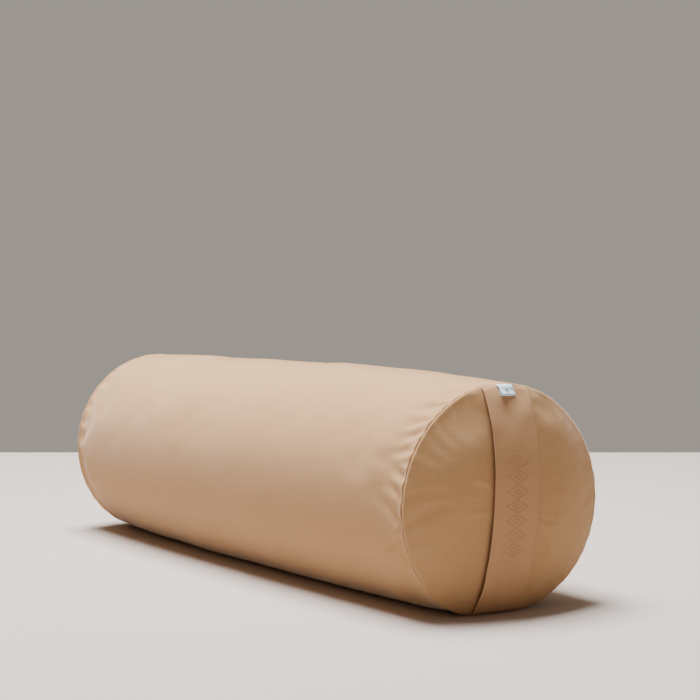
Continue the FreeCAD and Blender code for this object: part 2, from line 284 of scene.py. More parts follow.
canvas = clothMaterial("tan cotton canvas", "#C49B6F", "#BB9266")
strapCanvas = clothMaterial("tan canvas strap", "#C49A71", "#BB9168")
printInk = clothMaterial("tone on tone print", "#BB926C", "#B28963", bump=0.1, uv=False)
ribbon = clothMaterial("pale blue woven ribbon", "#D9F0FB", "#CBE3EF", pitch=0.5 * mm, bump=0.12, rough=0.7,
                       sheen=0.1)
ribbonMark = clothMaterial("slate weft thread", "#4A5560", "#3C464F", pitch=0.5 * mm, rough=0.7, uv=False)
satin = clothMaterial("white satin ribbon", "#F0EFEA", "#E4E2DC", pitch=0.4 * mm, rough=0.45, uv=False)
calico = clothMaterial("unbleached calico", "#E4DAC4", "#D6CBB2", pitch=0.8 * mm, uv=False)
batting = clothMaterial("cotton batting", "#F0EBDD", "#E2DCCB", pitch=3 * mm, bump=0.5, uv=False)
zipTape = clothMaterial("tan zip tape", "#BE9C7C", "#AE8C6D", pitch=0.8 * mm, bump=0.3, uv=False)
threadPolyester = clothMaterial("tan polyester thread", "#D2B08E", "#C39F7C", pitch=0.4 * mm, bump=0.3,
                                rough=0.6, uv=False)
coilNylon = solidMaterial("tan nylon coil", "#B08D6C", "#A17F60", 0.6 * mm, 0.42, ior=1.53)
nickel = solidMaterial("nickel-plated zinc", "#B9B4AA", "#A39E94", 0.5 * mm, 0.3, metallic=1.0)
print("materials made")


# The cover's side: one cloth wrapped round, from one edge of the zip to the other

cover = {
    "handleTaper": 5.0 * mm,     # how much the side narrows over its last stretch before the handle
    "taperStart": 75 * mm,
    "plainTaper": 6.6 * mm,
    "zipTaperLength": 75 * mm,   # beside the zip it only narrows past the zip's ends
    "topSag": 3.2 * mm,          # a slack stretch of the top, beyond the middle
    "endBulge": 3.0 * mm,        # the back of the handle end, pushed out by its own weight
    "endTuckUnder": 4.0 * mm,    # and its lowest corner, drawn in
    "lumps": 0.45 * mm,          # uneven stuffing
    "ripples": 0.2 * mm,
    "pucker": 2.6 * mm,          # the deepest gathers at the end seams
    "puckerSpacing": 17 * mm,
    "puckerLength": 24 * mm,
    "seamWander": 0.5 * mm,      # the seam pulled in and let out by its gathers
    "restSoftness": 3.0 * mm,    # how softly the side turns into the flat underside
    "tuck": 3.2 * mm,            # how deep the cloth turns into a seam
    "tuckWidth": 0.8 * mm,
    "endTuckWidth": 0.55 * mm,
    "seamGap": 1.3 * mm,         # the shadowed line between the side and an end, which closes further in
    "seamRidge": 0.06 * mm,      # where the seam allowances lift the cloth beside the seam
    "slotHalfWidth": 5.0 * mm,
    "cloth": 0.9 * mm,
    "stuffCap": 1.6 * mm,        # the furthest the stuffing moves it
    "stuffPressure": 1.5,
    "stuffSpare": 0.006,         # the share it is cut larger than its place
    "overZip": 0.1 * mm,         # the furthest it moves in over the care label and the zip
    "alongStep": 12.0 * mm,
    "aroundStep": 6.0 * mm,
    "fineStep": 3.0 * mm,        # round the front, where the gathers show most
    "fineFrom": math.radians(98),
    "fineTo": math.radians(205),
    "edgeSteps": [0, 0.7, 1.5, 2.6, 4.2, 6.2, 8.8, 12, 16, 20.5, 25.5],
    "hemSteps": [0, 0.7, 1.6, 3.2, 5.6, 8.8],
}


def slotHalf(x):
    # half of the gap between the two long edges: the zip's slot, closing to a plain seam past its ends
    past = unit((np.abs(x) - zipHalfLength) / (4 * mm))
    return cover["slotHalfWidth"] * (1 - past) + 0.35 * mm * past


def turnGap(angle, middle):
    return (angle - middle + math.pi) % (2 * math.pi) - math.pi


def endBulge(angle):
    total = np.zeros_like(angle)
    for height, turn, width in ((cover["endBulge"], -2, 38), (-cover["endTuckUnder"], -62, 20)):
        total = total + height * bell(turnGap(angle, math.radians(turn)) / math.radians(width))
    return total


def sideRadius(x, angle):
    free = unit((np.abs(turnGap(angle, zipAngle)) - 0.45) / 0.5)
    total = np.full_like(x, radius)
    for side, depth in ((1, cover["handleTaper"]), (-1, cover["plainTaper"])):
        slow = unit((side * x - cover["taperStart"]) / (seamX - cover["taperStart"]))
        quick = unit((side * x - seamX + cover["zipTaperLength"]) / cover["zipTaperLength"])
        total -= depth * (free * slow ** 1.5 + (1 - free) * quick ** 2)
    total -= cover["topSag"] * bell((x + 120 * mm) / (150 * mm)) * unit(np.sin(angle)) ** 2
    return total + endBulge(angle) * unit((x - 0.1) / (seamX - 0.1)) ** 2


def puckerSet(seed, chosen):
    # each is its angle round the seam, strength, reach, slant and half width; the chosen angles come first
    draw = np.random.default_rng(seed)
    step = cover["puckerSpacing"] / seamRadius
    places = [[math.radians(turn), strength, reach, slant, width * mm]
              for turn, strength, reach, slant, width in chosen]
    spot = max([place[0] for place in places], default=0.0) + step
    end = min([place[0] for place in places], default=2 * math.pi) + 2 * math.pi * bool(places) - 0.8 * step
    while spot < end:
        places.append([spot, draw.uniform(0.3, 0.9), draw.uniform(0.5, 1.0), draw.uniform(-0.4, 0.4),
                       draw.uniform(3.2, 5.2) * mm])
        spot += step * draw.uniform(0.7, 1.4)
    return places


handlePuckers = puckerSet(11, [
    (107, 0.6, 0.8, 0.6, 3.0), (113, 0.5, 0.6, 0.5, 2.6), (121, 1.0, 1.1, 0.45, 3.0),
    (127, 0.5, 0.6, 0.3, 2.5), (132, 1.0, 1.2, 0.4, 3.0), (141, 1.0, 1.0, 0.3, 3.2),
    (146, 0.5, 0.5, 0.3, 2.5), (151, 0.9, 0.9, 0.1, 2.9), (158, 0.5, 0.6, -0.1, 2.6),
    (164, 1.0, 1.0, -0.2, 3.6), (174, 1.0, 1.1, -0.45, 3.6), (187, 1.0, 1.5, -0.7, 4.4)])
plainPuckers = puckerSet(23, [])


def puckerDepth(places, angle, away, length):
    # dents that start at the seam, deepest a few millimetres in, and fade along the cloth
    depth = np.zeros_like(angle)
    rise = 1 - np.exp(-away / (4.0 * mm))
    for middle, strength, reach, skew, width in places:
        fromTop = turnGap(middle, math.pi / 2)
        strength *= 1 - 0.7 * math.exp(-(fromTop / 0.35) ** 2)   # the top is pulled smooth
        gap = turnGap(angle, middle)
        across = (gap * seamRadius - skew * away) / (width * (1 + away / (40 * mm)))
        fade = bell(away / (length * reach))
        depth += strength * fade * (bell(across) - 0.5 * bell((across - 1.7) / 0.8)
                                    - 0.3 * bell((across + 1.7) / 0.9))
    return depth * rise


def seamWander(places, angle):
    # how far the seam itself is pulled in at each gather
    pull = np.zeros_like(angle)
    for middle, strength, _, _, width in places:
        pull += strength * bell(turnGap(angle, middle) * seamRadius / (1.3 * width))
    return cover["seamWander"] * (pull - 0.35)


creases = [   # start and end as distance from the handle's seam and degrees round, width, depth
    (2, 187, 40, 200, 3.2, 1.3),
    (4, 193, 46, 213, 4.0, 0.9),
    (6, 205, 60, 228, 5.0, 0.9),
    (8, 216, 74, 236, 5.0, 0.7),
    (22, 196, 96, 214, 6.0, 0.6),
    (60, 210, 170, 222, 8.0, 0.5),
    (5, 340, 44, 325, 4.0, 0.8),
    (5, 60, 34, 48, 4.0, 0.7),
]


def creaseHeight(x, angle):
    away = seamX - x
    around = angle * radius
    height = np.zeros_like(x)
    for away0, turn0, away1, turn1, width, depth in creases:
        a0, a1 = away0 * mm, away1 * mm
        b0, b1 = math.radians(turn0) * radius, math.radians(turn1) * radius
        length = math.hypot(a1 - a0, b1 - b0)
        along = ((away - a0) * (a1 - a0) + (around - b0) * (b1 - b0)) / length
        across = ((away - a0) * (b1 - b0) - (around - b0) * (a1 - a0)) / length
        ends = unit(along / (0.25 * length)) * unit((length - along) / (0.5 * length))
        profile = bell(across / (width * mm)) - 0.6 * bell((across + 2 * width * mm) / (width * mm))
        height += depth * mm * profile * ends * ends * (3 - 2 * ends)
    return height


def settle(points, floor=0.0):
    # the underside rests flat on the floor
    softness = cover["restSoftness"]
    points[:, 2] = floor + softness * np.logaddexp(0, (points[:, 2] - floor) / softness)
    return points


def sidePoint(x, angle, lift):
    r = sideRadius(x, angle) + lift
    return stacked(x, r * np.cos(angle), axisHeight + r * np.sin(angle))


def inflate(piece, pinned, values, outwards, inward, frames=18):
    # stuffs the cloth: pressure from inside on cloth cut a little larger than its place, held along its seams
    # it moves no further than the cap, and no further in than inward, where something lies under it
    before = readPoints(piece)
    pins = piece.vertex_groups.new(name="pins")
    pins.add([int(i) for i in np.nonzero(pinned)[0]], 1.0, "REPLACE")
    cloth = piece.modifiers.new("stuffing", "CLOTH")
    settings = cloth.settings
    for setting, value in {"quality": 5, "mass": 0.25, "tension_stiffness": 40, "compression_stiffness": 12,
                           "shear_stiffness": 10, "bending_stiffness": 0.4}.items():
        setattr(settings, setting, value)
    settings.vertex_group_mass = "pins"
    settings.use_pressure = True
    settings.uniform_pressure_force = values["stuffPressure"]
    settings.shrink_min = -values["stuffSpare"]
    settings.effector_weights.gravity = 0
    cloth.collision_settings.use_collision = False
    cloth.point_cache.frame_start = 1
    cloth.point_cache.frame_end = frames
    for number in range(1, frames + 1):
        bpy.context.scene.frame_set(number)
    bakeModifiers(piece)
    bpy.context.scene.frame_set(1)
    piece.vertex_groups.clear()
    moved = readPoints(piece) - before
    length = np.linalg.norm(moved, axis=1)
    cap = values["stuffCap"]
    moved *= (cap * np.tanh(length / cap) / np.maximum(length, 1e-9))[:, None]
    sunk = np.minimum((moved * outwards).sum(axis=1) + inward, 0)
    writePoints(piece, before + moved - outwards * sunk[:, None])
    print(piece.name, "stuffed, moved up to", round(float(length.max()) * 1000, 1), "mm, mean",
          round(float(length.mean()) * 1000, 2))


def subdivide(piece, levels=1):
    modifier = piece.modifiers.new("finer", "SUBSURF")
    modifier.levels = levels
    modifier.render_levels = levels
    modifier.boundary_smooth = "PRESERVE_CORNERS"
    modifier.uv_smooth = "NONE"
    bakeModifiers(piece)


def thicken(piece, thickness):
    modifier = piece.modifiers.new("cloth", "SOLIDIFY")
    modifier.thickness = thickness
    modifier.offset = -1
    bakeModifiers(piece)


def coverLumps(x, angle):
    # three directions in space, so that it meets itself all the way round
    y, z = radius * np.cos(angle), radius * np.sin(angle)
    return cover["lumps"] * (0.7 * softLumps(x, y, 150 * mm, 12, 3) + 0.7 * softLumps(x, z, 130 * mm, 12, 4))


def shareRound():
    # places round the cloth from one long edge to the other: fine at both hems and across the front
    length = 2 * math.pi * radius - 2 * cover["slotHalfWidth"]
    hem = np.array(cover["hemSteps"]) * mm
    spots = np.linspace(hem[-1], length - hem[-1], 4000)
    angle = zipAngle + (spots + cover["slotHalfWidth"]) / radius
    fine = (angle > cover["fineFrom"]) & (angle < cover["fineTo"])
    density = np.cumsum(1 / np.where(fine, cover["fineStep"], cover["aroundStep"])) * (spots[1] - spots[0])
    middle = np.interp(np.linspace(density[0], density[-1], int(density[-1]) + 1), density, spots)
    return np.concatenate([hem[:-1], middle, length - hem[:-1][::-1]]) / length


def makeSidePanel():
    xs = spacedFrom(-seamX, cover["edgeSteps"], seamX, cover["alongStep"])
    share = shareRound()
    x, s = np.meshgrid(xs, share, indexing="ij")
    edge = slotHalf(x) / radius
    angle = zipAngle + edge + s * (2 * math.pi - 2 * edge)
    lift = coverLumps(x, angle) + cover["ripples"] * softLumps(x * 0.7, angle * radius, 30 * mm, 22, 5)
    ends = unit(np.minimum(seamX - x, seamX + x) / (30 * mm))
    nearZip = unit((np.minimum(s, 1 - s) * 2 * math.pi * radius - 45 * mm) / (40 * mm))
    lift *= ends * nearZip
    for puckers, away in ((handlePuckers, seamX - x), (plainPuckers, seamX + x)):
        lift -= cover["pucker"] * puckerDepth(puckers, angle, away, cover["puckerLength"])
        lift -= seamWander(puckers, angle) * bell(away / (6 * mm))
    lift += creaseHeight(x, angle) * nearZip
    points = sidePoint(x, angle, lift).reshape(-1, 3)
    uvs = stacked(angle * radius, x).reshape(-1, 2)
    rows, columns = x.shape
    piece = meshObject("coverSide", points, gridFaces(rows, columns), uvs, canvas)
    rowNumber, columnNumber = np.meshgrid(np.arange(rows), np.arange(columns), indexing="ij")
    pinned = (rowNumber < 2) | (rowNumber > rows - 3) | (columnNumber < 3) | (columnNumber > columns - 4)
    outwards = stacked(np.zeros_like(x), np.cos(angle), np.sin(angle)).reshape(-1, 3)
    fromZip = unit((np.abs(turnGap(angle, zipAngle)) - 0.5) / 0.3).ravel()
    inward = cover["overZip"] + (cover["stuffCap"] - cover["overZip"]) * fromZip
    inflate(piece, pinned.ravel(), cover, outwards, inward)
    subdivide(piece)

    # turn the edges into the seams and the zip
    points = readPoints(piece)
    uvs = readUvs(piece)
    angle = uvs[:, 0] / radius
    x = uvs[:, 1]
    fromSeam = np.maximum(seamX - np.abs(x), 0)
    edge = slotHalf(x) / radius
    turned = (angle - zipAngle) % (2 * math.pi)
    fromHem = np.maximum(np.minimum(turned - edge, 2 * math.pi - edge - turned) * radius, 0)
    width = cover["tuckWidth"]
    tucked = bell(fromSeam / width)
    points[:, 0] -= np.sign(x) * cover["seamGap"] / 2 * (1 - tucked ** 3) * bell(fromSeam / (8 * mm))
    drop = cover["tuck"] * tucked
    drop += 0.8 * cover["tuck"] * bell(fromHem / width)
    lift = cover["seamRidge"] * (bell((fromSeam - 4 * mm) / (2.2 * mm)))
    lift += 0.5 * cover["seamRidge"] * bell((fromHem - 3 * mm) / (2 * mm))
    outwards = stacked(np.zeros_like(x), points[:, 1], points[:, 2] - axisHeight)
    outwards /= np.linalg.norm(outwards, axis=1)[:, None]
    points += outwards * (lift - drop)[:, None]
    writePoints(piece, settle(points))
    thicken(piece, cover["cloth"])
    return piece


coverSide = makeSidePanel()
print("cover side made:", len(coverSide.data.polygons), "faces")


# The two end panels, domed by the filling

ends = {
    "swell": 1.5 * mm,        # the stuffed crown beyond the frame's dome, near the middle
    "power": 2.6,             # above 2 the middle is flatter and the rim steeper
    "stuffCap": 1.2 * mm,
    "stuffPressure": 1.0,
    "stuffSpare": 0.004,
    "plainSink": 0.1 * mm,    # the furthest the plain end moves in
    "lumps": 0.7 * mm,
    "pucker": 0.8 * mm,
    "puckerLength": 15 * mm,
    "rimRidge": 0.1 * mm,
    "hollow": 4.5 * mm,       # the panel sinks a little behind the strap
    "hollowHalf": 23 * mm,
    "around": 160,
    "rings": [0, 0.7, 1.5, 2.6, 4.2, 6.2, 8.8, 12, 16, 20.5, 25.5, 30, 35, 40, 45, 50, 55, 60, 65, 70, 75,
              80, 86, 94],
    # degrees round, millimetres in from the rim, size and depth
    "dents": [(118, 14, 24, 1.3), (107, 10, 13, -0.7), (134, 10, 20, 0.8), (62, 12, 20, 0.8),
              (150, 8, 16, 0.6)],
}


def domeRise(q):
    return (domeHeight + ends["swell"]) * (1 - unit(q) ** ends["power"])


def makeEndPanel(name, side, puckers, seed, dents):
    rim = seamRadius - 0.2 * mm
    depths = np.array(ends["rings"]) * mm
    angle, depth = np.meshgrid(np.linspace(0, 2 * math.pi, ends["around"], endpoint=False), depths)
    out = endBulge(angle) if side > 0 else cover["handleTaper"] - cover["plainTaper"]
    r = (rim - depth) * (1 + out / rim) - seamWander(puckers, angle) * bell(depth / (6 * mm))
    rise = domeRise((rim - depth) / rim)
    y, z = r * np.cos(angle), r * np.sin(angle)
    lift = ends["lumps"] * softLumps(y, z, 90 * mm, 12, seed) * unit(depth / (20 * mm))
    lift -= ends["pucker"] * puckerDepth(puckers, angle, depth, ends["puckerLength"])
    for turn, away, size, deep in dents:
        dy = y - (rim - away * mm) * math.cos(math.radians(turn))
        dz = z - (rim - away * mm) * math.sin(math.radians(turn))
        lift -= deep * mm * np.exp(-(dy ** 2 + dz ** 2) / (size * mm / 1.6) ** 2) * unit(depth / (4 * mm))
    if side > 0:
        across = (y * math.cos(lean) - z * math.sin(lean) - strapOffset) / ends["hollowHalf"]
        along = (y * math.sin(lean) + z * math.cos(lean)) / rim
        lift -= ends["hollow"] * unit(1 - across ** 4) * unit(1.1 - along ** 4)
    x = side * (seamX + rise + lift)
    points = stacked(x, y, axisHeight + z).reshape(-1, 3)
    uvs = stacked((rim - depth) * np.cos(angle), (rim - depth) * np.sin(angle)).reshape(-1, 2)
    rows, columns = r.shape
    faces = gridFaces(rows, columns, closed=True, flip=side > 0)
    centre = len(points)
    tip = side * (seamX + domeHeight + ends["swell"] + float(lift[-1].mean()))
    points = np.vstack([points, [[tip, 0, axisHeight]]])
    uvs = np.vstack([uvs, [[0, 0]]])
    last = (rows - 1) * columns
    for j in range(columns):
        tri = (last + j, last + (j + 1) % columns, centre)
        faces.append(tri[::-1] if side > 0 else tri)
    piece = meshObject(name, points, faces, uvs, canvas)
    pinned = np.zeros(len(points), dtype=bool)
    pinned[:2 * columns] = True
    outwards = np.zeros_like(points)
    outwards[:, 0] = side
    inflate(piece, pinned, ends, outwards, ends["stuffCap"] if side > 0 else ends["plainSink"])
    subdivide(piece)
    points = readPoints(piece)
    uvs = readUvs(piece)
    depth = np.maximum(rim - np.hypot(uvs[:, 0], uvs[:, 1]), 0)
    tucked = bell(depth / cover["endTuckWidth"])
    sink = cover["tuck"] * tucked
    ridge = ends["rimRidge"] * bell((depth - 3.2 * mm) / (1.8 * mm))
    ridge += cover["seamGap"] / 2 * (1 - tucked ** 3)
    inwards = stacked(np.zeros(len(points)), -uvs[:, 0], -uvs[:, 1])
    inwards /= np.maximum(np.linalg.norm(inwards, axis=1), 1e-9)[:, None]
    points += inwards * (0.9 * sink)[:, None]
    points[:, 0] += side * ridge
    writePoints(piece, settle(points))
    thicken(piece, cover["cloth"])
    return piece


handleEnd = makeEndPanel("handleEndPanel", 1, handlePuckers, 31, ends["dents"])
plainEnd = makeEndPanel("plainEndPanel", -1, plainPuckers, 37, [(30, 14, 20, 0.8), (210, 12, 18, 0.7)])
print("end panels made:", len(handleEnd.data.polygons), "faces each")


# The liner and the filling under the side, smooth and out of sight

def makeSleeve(name, outer, thickness, halfLength, material):
    # a closed tube that follows the cover's side this far under it
    xs = np.linspace(-halfLength, halfLength, 61)
    x, angle = np.meshgrid(xs, np.linspace(0, 2 * math.pi, 96, endpoint=False), indexing="ij")
    skins = []
    for depth in (outer, outer + thickness):
        points = sidePoint(x, angle, coverLumps(x, angle) - depth).reshape(-1, 3)
        skins.append(settle(points, depth))
    if thickness > 5 * mm:
        skins[1] = sidePoint(x, angle, fillingCore - sideRadius(x, angle)).reshape(-1, 3)
    rows, columns = x.shape
    count = rows * columns
    faces = gridFaces(rows, columns, closed=True)
    faces += [tuple(i + count for i in face[::-1]) for face in gridFaces(rows, columns, closed=True)]
    for j in range(columns):
        k = (j + 1) % columns
        last = (rows - 1) * columns
        faces.append((k, j, j + count, k + count))
        faces.append((last + j, last + k, last + k + count, last + j + count))
    return meshObject(name, np.vstack(skins), faces, material=material)


def makeInnerCap(name, side, depth, backX, thickness, material):
    # a stuffed end this far under the cover: solid back to backX, or a thin dome if it has a thickness
    turns = np.linspace(0, 2 * math.pi, 96, endpoint=False)
    rings = []
    corner = sideRadius(np.full_like(turns, side * (seamX - depth)), turns) - depth
    shares = np.linspace(1, 0.06, 16)
    for q in shares:
        rings.append((np.full_like(turns, seamX - depth + domeRise(q)), q * corner, depth))
    if thickness:
        for q in shares[::-1]:
            x = np.full_like(turns, seamX - depth - thickness + domeRise(q))
            rings.append((x, q * (corner - thickness), depth + thickness))
    else:
        for x in np.linspace(backX, seamX - depth - 2 * mm, 6)[::-1]:
            wall = sideRadius(np.full_like(turns, side * x), turns) - depth
            rings.insert(0, (np.full_like(turns, x), wall, depth))
    points = []
    for x, r, low in rings:
        ring = stacked(side * x, r * np.cos(turns), axisHeight + r * np.sin(turns))
        points.append(settle(ring, low))
    columns = len(turns)
    faces = gridFaces(len(rings), columns, closed=True, flip=side > 0)
    first, last = tuple(range(columns)), tuple(range((len(rings) - 1) * columns, len(rings) * columns))
    faces += [first if side > 0 else first[::-1], last[::-1] if side > 0 else last]
    return meshObject(name, np.vstack(points), faces, material=material)


inside = {
    "linerDepth": 4.4 * mm,      # how far under the cover's face each layer's own face is
    "wrapDepth": 5.2 * mm,
    "handleDepth": 7.6 * mm,     # deeper, to stay clear of the hollow behind the strap
    "plainDepth": 5.0 * mm,
    "padUnder": 1.2 * mm,        # the filling's pads under the liner's ends
    "linerCloth": 0.5 * mm,
    "wrapThick": 18 * mm,
}
coreLow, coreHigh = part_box("filling_core_roll")
fillingCore = (coreHigh.z - coreLow.z) / 2 + 1.5 * mm
linerSide = makeSleeve("linerSide", inside["linerDepth"], inside["linerCloth"],
                       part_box("liner_side_panel")[1].x - 1 * mm, calico)
fillingWrap = makeSleeve("fillingWrap", inside["wrapDepth"], inside["wrapThick"],
                         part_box("filling_wrap")[1].x, batting)
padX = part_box("filling_handle_end_pad")[0].x
innerCaps = []
for side, word in ((1, "handle"), (-1, "plain")):
    depth = inside[word + "Depth"]
    liner = makeInnerCap(word + "EndLiner", side, depth, 0, inside["linerCloth"], calico)
    pad = makeInnerCap(word + "EndPad", side, depth + inside["padUnder"], padX, 0, batting)
    innerCaps += [(liner, "liner_" + word + "_end_panel"), (pad, "filling_" + word + "_end_pad")]
print("liner and filling made")


# The strap over the handle end, made as two halves that meet in its middle

strap = {
    "width": 48 * mm,
    "offset": strapOffset,
    "thickness": 1.0 * mm,
    "gap": 1.8 * mm,             # between it and the end panel, on its centre line
    "reach": seamRadius - 0.8 * mm,
    "floorGap": 0.5 * mm,        # under its lower end
    "bow": 0.35 * mm,            # its middle stands out a little beyond its edges
    "slack": 0.55 * mm,          # soft folds towards its sewn ends
    "edgeRound": 0.48 * mm,
    "stations": 64,
    "across": 18,
    "grip": 36 * mm,             # this much each way from its middle
}


def strapReach(y):
    # how far it goes up and down from the axis, where it stops short of the floor
    up = np.sqrt(strap["reach"] ** 2 - y ** 2)
    return up, np.minimum(up, (axisHeight - strap["floorGap"] - y * math.sin(lean)) / math.cos(lean))


def strapSurface(s, w):
    # s across from the strap's own middle, w from -1 at its lower seam to 1 at its upper seam
    y = strap["offset"] + s
    up, down = strapReach(y)
    v = w * np.where(w < 0, down, up)
    gap = strap["gap"] * np.sqrt(unit(1 - w ** 2)) * (1 + 0.35 * (1 - np.abs(w)))
    wander = 0.35 * mm * np.sin(5.1 * w + 0.6 + 20 * s) * np.abs(w) * (1 - np.abs(w)) * 4
    rise = seamX + domeRise(np.hypot(strap["offset"], v) / seamRadius) + gap + wander
    rise += strap["bow"] * (1 - (2 * s / strap["width"]) ** 2) * (1 - w ** 4)
    slack = unit((np.abs(w) - 0.4) / 0.3) * unit((1 - np.abs(w)) / 0.08)
    rise += strap["slack"] * softLumps(np.asarray(s), v, 30 * mm, 12, 43) * slack
    return rise, y, v


def leaned(x, y, v):
    c, s = math.cos(lean), math.sin(lean)
    return stacked(x, y * c + v * s, axisHeight + v * c - y * s)


def sharpenCaps(piece, columns):
    # flat cut ends that don't bend the shading of the long faces
    mesh = piece.data
    capPoints = set(range(columns)) | set(range(len(mesh.vertices) - columns, len(mesh.vertices)))
    for face in list(mesh.polygons)[-2:]:
        face.use_smooth = False
    sharp = [set(edge.vertices) <= capPoints for edge in mesh.edges]
    mesh.attributes.new("sharp_edge", "BOOLEAN", "EDGE").data.foreach_set("value", sharp)


def makeStrapHalf(name, side):
    half = strap["width"] / 2
    edge = strap["edgeRound"]
    turns = np.linspace(-math.pi / 2, math.pi / 2, 7)
    front = np.linspace(-half + edge, half - edge, strap["across"])
    level = strap["thickness"] / 2
    rounded = [(half - edge + edge * math.cos(t), edge * math.sin(t)) for t in turns[1:-1]]
    ring = [(s, strap["thickness"]) for s in front] + [(s, level - h) for s, h in rounded]
    ring += [(s, 0.0) for s in front[::-1]] + [(-s, level + h) for s, h in rounded]
    share = np.linspace(0, 1, strap["stations"])
    stations = side * (share + 0.10 * np.sin(math.pi * share) * share)
    stations = stations / np.abs(stations).max()
    ringS = np.array([p[0] for p in ring])
    ringH = np.array([p[1] for p in ring])
    w, s = np.meshgrid(stations, ringS, indexing="ij")
    h = np.broadcast_to(ringH, w.shape)
    x, y, v = strapSurface(s, w)
    sink = 1.4 * mm * bell((1 - np.abs(w)) * strap["reach"] / (1.6 * mm))
    points = leaned(x + h - sink, y, v).reshape(-1, 3)
    uvs = stacked(y, v).reshape(-1, 2)
    rows, columns = w.shape
    faces = gridFaces(rows, columns, closed=True, flip=side > 0)
    caps = [tuple(range(columns)), tuple(range((rows - 1) * columns, rows * columns))]
    faces += [caps[0][::-1] if side < 0 else caps[0], caps[1] if side < 0 else caps[1][::-1]]
    piece = meshObject(name, points, faces, uvs, strapCanvas)
    sharpenCaps(piece, columns)
    return piece


upperStrap = makeStrapHalf("strapUpperHalf", 1)
lowerStrap = makeStrapHalf("strapLowerHalf", -1)
print("strap made")


# The woven label in the end seam

labelLow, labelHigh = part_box("seam_label")
label = {
    "width": labelHigh.y - labelLow.y,
    "middle": (labelHigh.y + labelLow.y) / 2,
    "length": 14.6 * mm,
    "layer": 0.4 * mm,
    "fold": 1.05 * mm,           # radius of the fold at its free end
    "root": Vector((seamX + 0.2 * mm, 0, joints["label_flap"]["pos_m"][2] - 1.6 * mm)),
    "rootDroop": math.radians(14),
    "droop": math.radians(37),
    "curl": math.radians(13),    # its back corner hangs lower than its front corner
    "across": 14,
}


def labelFrame(share, distance):
    # the middle of the ribbon's two layers, at a share of its width and a distance from its root
    part = distance / label["length"]
    hang = label["droop"] + label["curl"] * share
    droop = label["rootDroop"] + (hang - label["rootDroop"]) * min(1.0, 1.6 * part)
    y = label["middle"] + (share - 0.5) * label["width"]
    root = np.array([label["root"].x, y, label["root"].z - (y * y) / (2 * seamRadius)])
    direction = np.array([math.cos(droop), 0.0, -math.sin(droop)])
    normal = np.array([math.sin(droop), 0.0, math.cos(droop)])
    return root + direction * distance * (1 - 0.16 * share), normal


def makeLabel():
    reach = label["length"] - label["fold"]
    path = [(d, 1.0, 0.0) for d in np.linspace(0, reach, 12)]
    path += [(reach, math.cos(t), math.sin(t)) for t in np.linspace(0, math.pi, 9)[1:-1]]
    path += [(d, -1.0, 0.0) for d in np.linspace(reach, 0, 12)]
    points = []
    uvs = []
    for number, (distance, upward, forward) in enumerate(path):
        half = min(1.0, distance / (5 * mm)) * label["fold"] + 0.15 * mm
        for share in np.linspace(0, 1, label["across"]):
            middle, normal = labelFrame(share, distance)
            direction = np.array([normal[2], 0, -normal[0]])
            points.append(middle + normal * half * upward + direction * half * forward)
            uvs.append((share * label["width"], number * 1.1 * mm))
    piece = meshObject("wovenLabel", points, gridFaces(len(path), label["across"], flip=True), uvs, ribbon)
    thicken(piece, label["layer"])
    return piece


wovenLabel = makeLabel()
print("label made")


# Repeated parts, by geometry nodes

def instanceTree(name, material, kind):
    # puts one small element on every point of a mesh, turned by the point's own "turn", and makes it real
    tree = bpy.data.node_groups.new(name, "GeometryNodeTree")
    addSocket = tree.interface.new_socket
    addSocket("Geometry", in_out="INPUT", socket_type="NodeSocketGeometry")
    sockets = {
        "size": addSocket("Size", in_out="INPUT", socket_type="NodeSocketVector").identifier,
        "wire": addSocket("Wire radius", in_out="INPUT", socket_type="NodeSocketFloat").identifier,
    }
    addSocket("Geometry", in_out="OUTPUT", socket_type="NodeSocketGeometry")
    start = addNode(tree, "NodeGroupInput")
    if kind == "stitch":
        ball = addNode(tree, "GeometryNodeMeshUVSphere", inputs={"Segments": 8, "Rings": 5, "Radius": 0.5})
        element = addNode(tree, "GeometryNodeTransform",
                          links={"Geometry": ball.outputs["Mesh"], "Scale": start.outputs["Size"]})
    else:
        corners, sides = {"loop": (10, 5), "lozenge": (4, 4)}[kind]
        circle = addNode(tree, "GeometryNodeCurvePrimitiveCircle",
                         inputs={"Resolution": corners, "Radius": 0.5})
        path = addNode(tree, "GeometryNodeTransform",
                       links={"Geometry": circle.outputs["Curve"], "Scale": start.outputs["Size"]})
        section = addNode(tree, "GeometryNodeCurvePrimitiveCircle", inputs={"Resolution": sides},
                          links={"Radius": start.outputs["Wire radius"]})
        element = addNode(tree, "GeometryNodeCurveToMesh",
                          links={"Curve": path.outputs["Geometry"],
                                 "Profile Curve": section.outputs["Curve"]})
        if kind == "lozenge":
            element = addNode(tree, "GeometryNodeTransform", inputs={"Scale": (1, 1, 0.12)},
                              links={"Geometry": element.outputs["Mesh"]})
    smooth = addNode(tree, "GeometryNodeSetShadeSmooth", inputs={"Shade Smooth": kind != "lozenge"},
                     links={"Geometry": element.outputs[0]})
    turn = addNode(tree, "GeometryNodeInputNamedAttribute", {"data_type": "FLOAT_VECTOR"}, {"Name": "turn"})
    placed = addNode(tree, "GeometryNodeInstanceOnPoints",
                     links={"Points": start.outputs["Geometry"], "Instance": smooth.outputs["Geometry"],
                            "Rotation": turn.outputs["Attribute"]})
    real = addNode(tree, "GeometryNodeRealizeInstances", links={"Geometry": placed.outputs["Instances"]})
    painted = addNode(tree, "GeometryNodeSetMaterial", inputs={"Material": material},
                      links={"Geometry": real.outputs["Geometry"]})
    addNode(tree, "NodeGroupOutput", links={"Geometry": painted.outputs["Geometry"]})
    return tree, sockets


